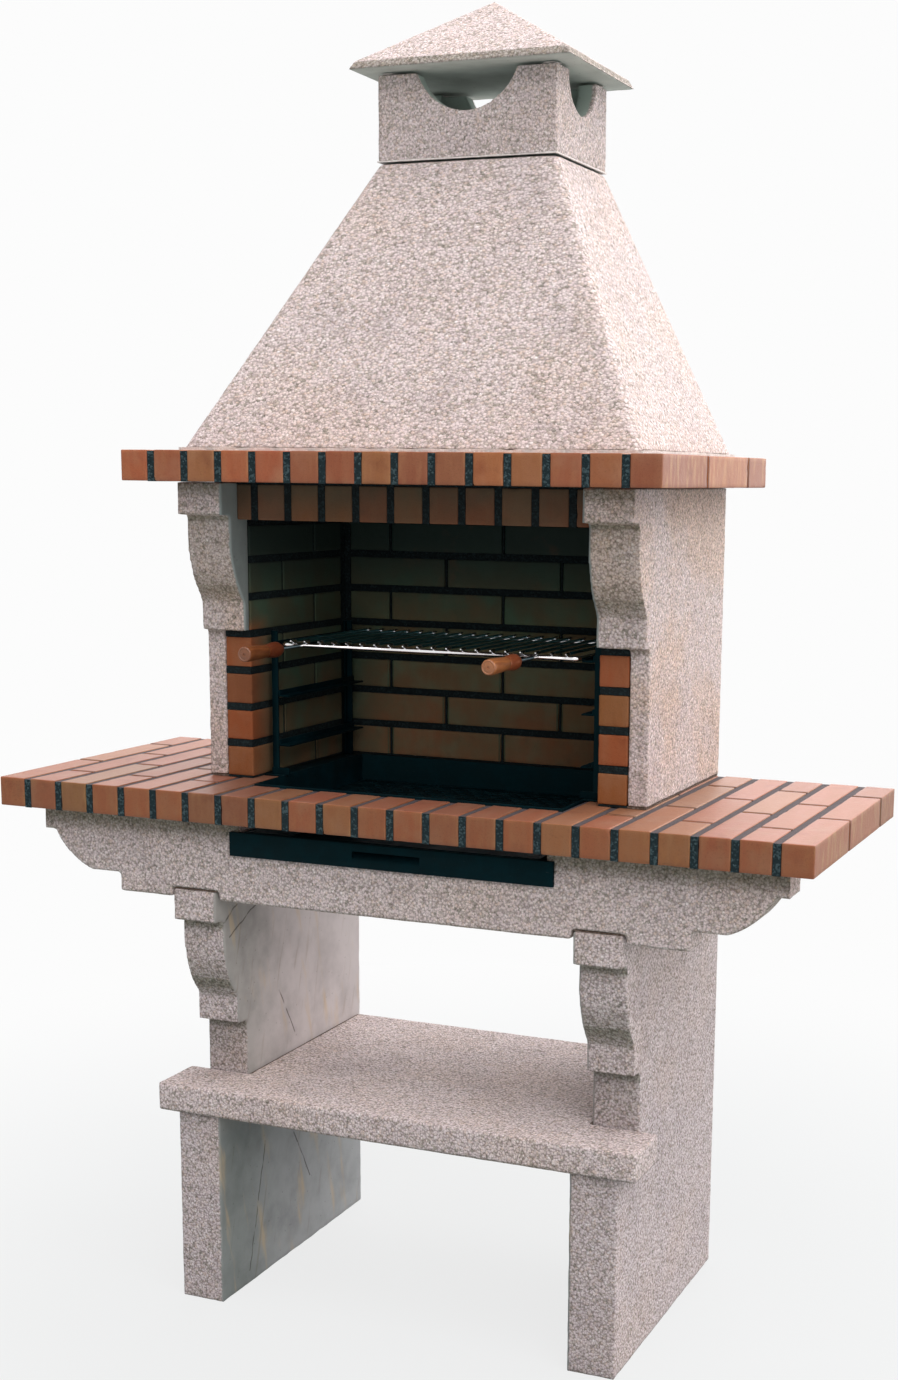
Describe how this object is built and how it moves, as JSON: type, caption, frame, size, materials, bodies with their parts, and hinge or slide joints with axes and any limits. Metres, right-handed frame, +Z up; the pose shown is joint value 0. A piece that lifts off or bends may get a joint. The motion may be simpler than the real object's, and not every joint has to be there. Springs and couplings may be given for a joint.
{
  "type": "outdoor masonry barbecue",
  "caption": "Free-standing garden barbecue of cast stone and brick with a hooded chimney, worktop, storage shelf, wood-handled grill and ash drawer.",
  "frame": {"origin": "middle of the footprint of the whole object, on the ground", "axes": "+Z up, -Y towards the cook, +X to the cook's right"},
  "size_m": [1.414, 0.611, 2.19],
  "materials": {
    "cast_stone": "exposed pink, white and grey grit, blasted",
    "brick": "smooth fired terracotta, slightly streaked",
    "lining_brick": "fired brown to orange, dulled by soot",
    "dark_mortar": "near-black gritty joint",
    "white_mortar": "pale pointing",
    "black_sheet": "black heat-proof paint, satin",
    "chromed_wire": "bright chrome",
    "turned_wood": "turned, lightly varnished"
  },
  "bodies": {
    "root": {"leg_left": "cast_stone", "leg_right": "cast_stone", "storage_shelf": "cast_stone", "shelf_joints": "dark_mortar", "front_beam": "cast_stone", "beam_bedding": "dark_mortar", "worktop_bricks": "brick", "worktop_mortar": "dark_mortar", "wall_left": "cast_stone", "wall_right": "cast_stone", "back_wall": "cast_stone", "wall_bed": "dark_mortar", "lining_bricks_left": "lining_brick", "lining_mortar_left": "dark_mortar", "lining_bricks_right": "lining_brick", "lining_mortar_right": "dark_mortar", "lining_bricks_back": "lining_brick", "lining_mortar_back": "dark_mortar", "lintel_bricks": "brick", "lintel_mortar": "dark_mortar", "mantel_bricks": "brick", "mantel_mortar": "dark_mortar", "mantel_core": "cast_stone", "hood_bed": "white_mortar", "hood": "cast_stone", "collar_bed": "white_mortar", "chimney_collar": "cast_stone", "cap_dabs": "white_mortar", "chimney_cap": "cast_stone", "charcoal_tray": "black_sheet", "drawer_runners": "black_sheet", "rack_posts": "black_sheet", "rack_rails": "black_sheet"},
    "ash_drawer_body": {"ash_drawer": "black_sheet", "drawer_front": "black_sheet"},
    "grill_body": {"grill_frame": "chromed_wire", "grill_rods": "chromed_wire", "handle_left": "turned_wood", "handle_right": "turned_wood"},
    "fire_grate_body": {"fire_grate": "black_sheet"}
  },
  "joints": [
    {"name": "ash_drawer_slide", "type": "slide", "parent": "root", "child": "ash_drawer_body", "axis": [0, -1, 0], "range_m": [0, 0.36]},
    {"name": "grill_slide", "type": "slide", "parent": "root", "child": "grill_body", "axis": [0, -1, 0], "range_m": [0, 0.24]},
    {"name": "fire_grate_lift", "type": "slide", "parent": "root", "child": "fire_grate_body", "axis": [0, 0, 1], "range_m": [0, 0.2]}
  ]
}
